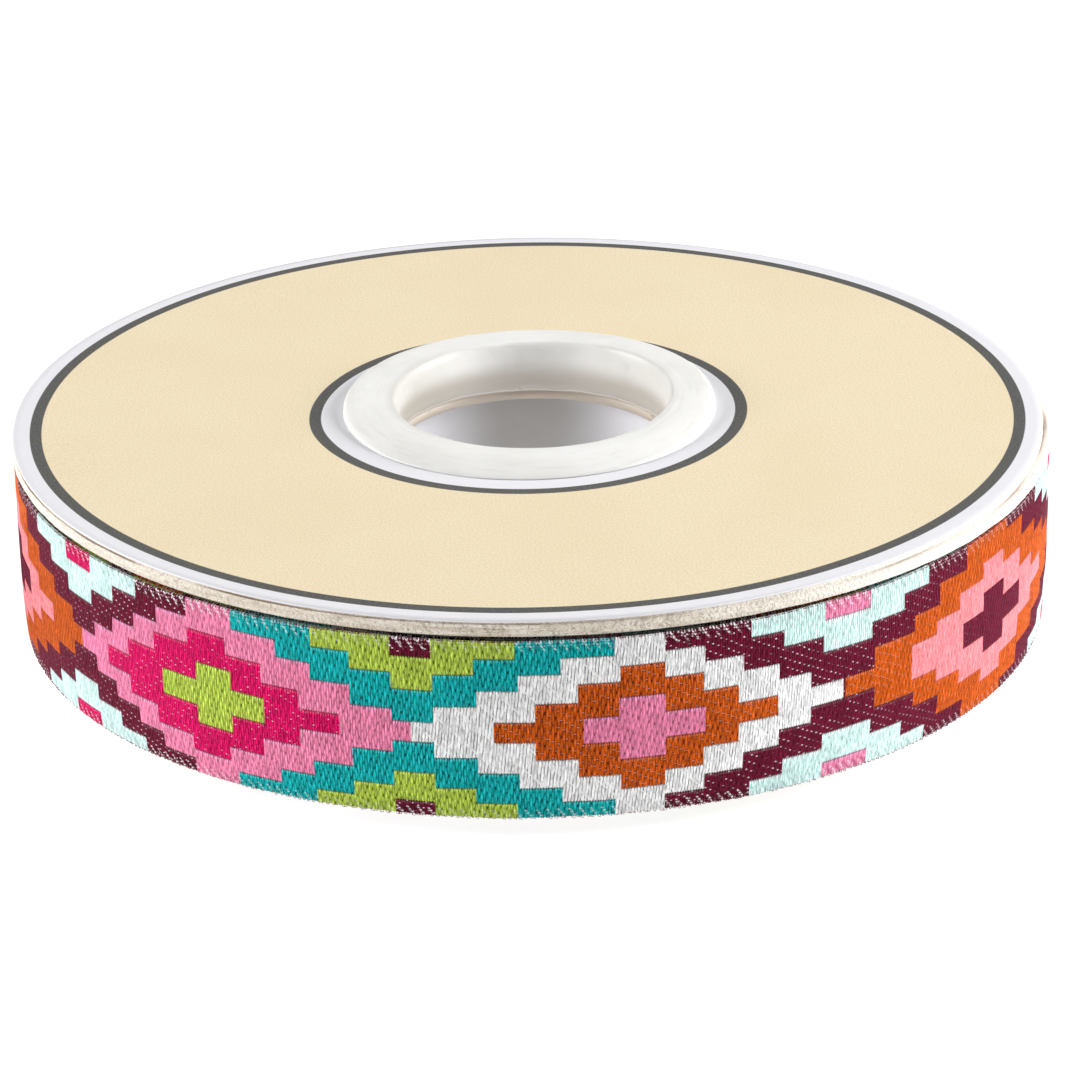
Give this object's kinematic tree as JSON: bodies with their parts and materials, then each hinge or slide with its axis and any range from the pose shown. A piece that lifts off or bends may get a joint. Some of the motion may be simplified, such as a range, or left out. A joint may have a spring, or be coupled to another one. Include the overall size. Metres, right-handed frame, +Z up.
{
  "type": "woven ribbon wound on a reel",
  "caption": "Woven ribbon with stepped diamonds, wound on a board reel with a printed label and a plastic hub collar.",
  "frame": {"origin": "centre of the reel's foot, on the surface that it lies on", "axes": "+Z up along the reel's axis, towards the label; -Y faces the picture's viewer"},
  "size_m": [0.1282, 0.1284, 0.0289],
  "materials": {
    "ribbon": "woven",
    "board": "raw chipboard",
    "label": "matte printed paper",
    "tube": "matte",
    "collar": "satin white"
  },
  "bodies": {
    "root": {"ribbon_roll": "ribbon", "upper_flange": "board", "lower_flange": "board", "flange_label": "label", "core_tube": "tube", "hub_collar": "collar"}
  },
  "joints": []
}
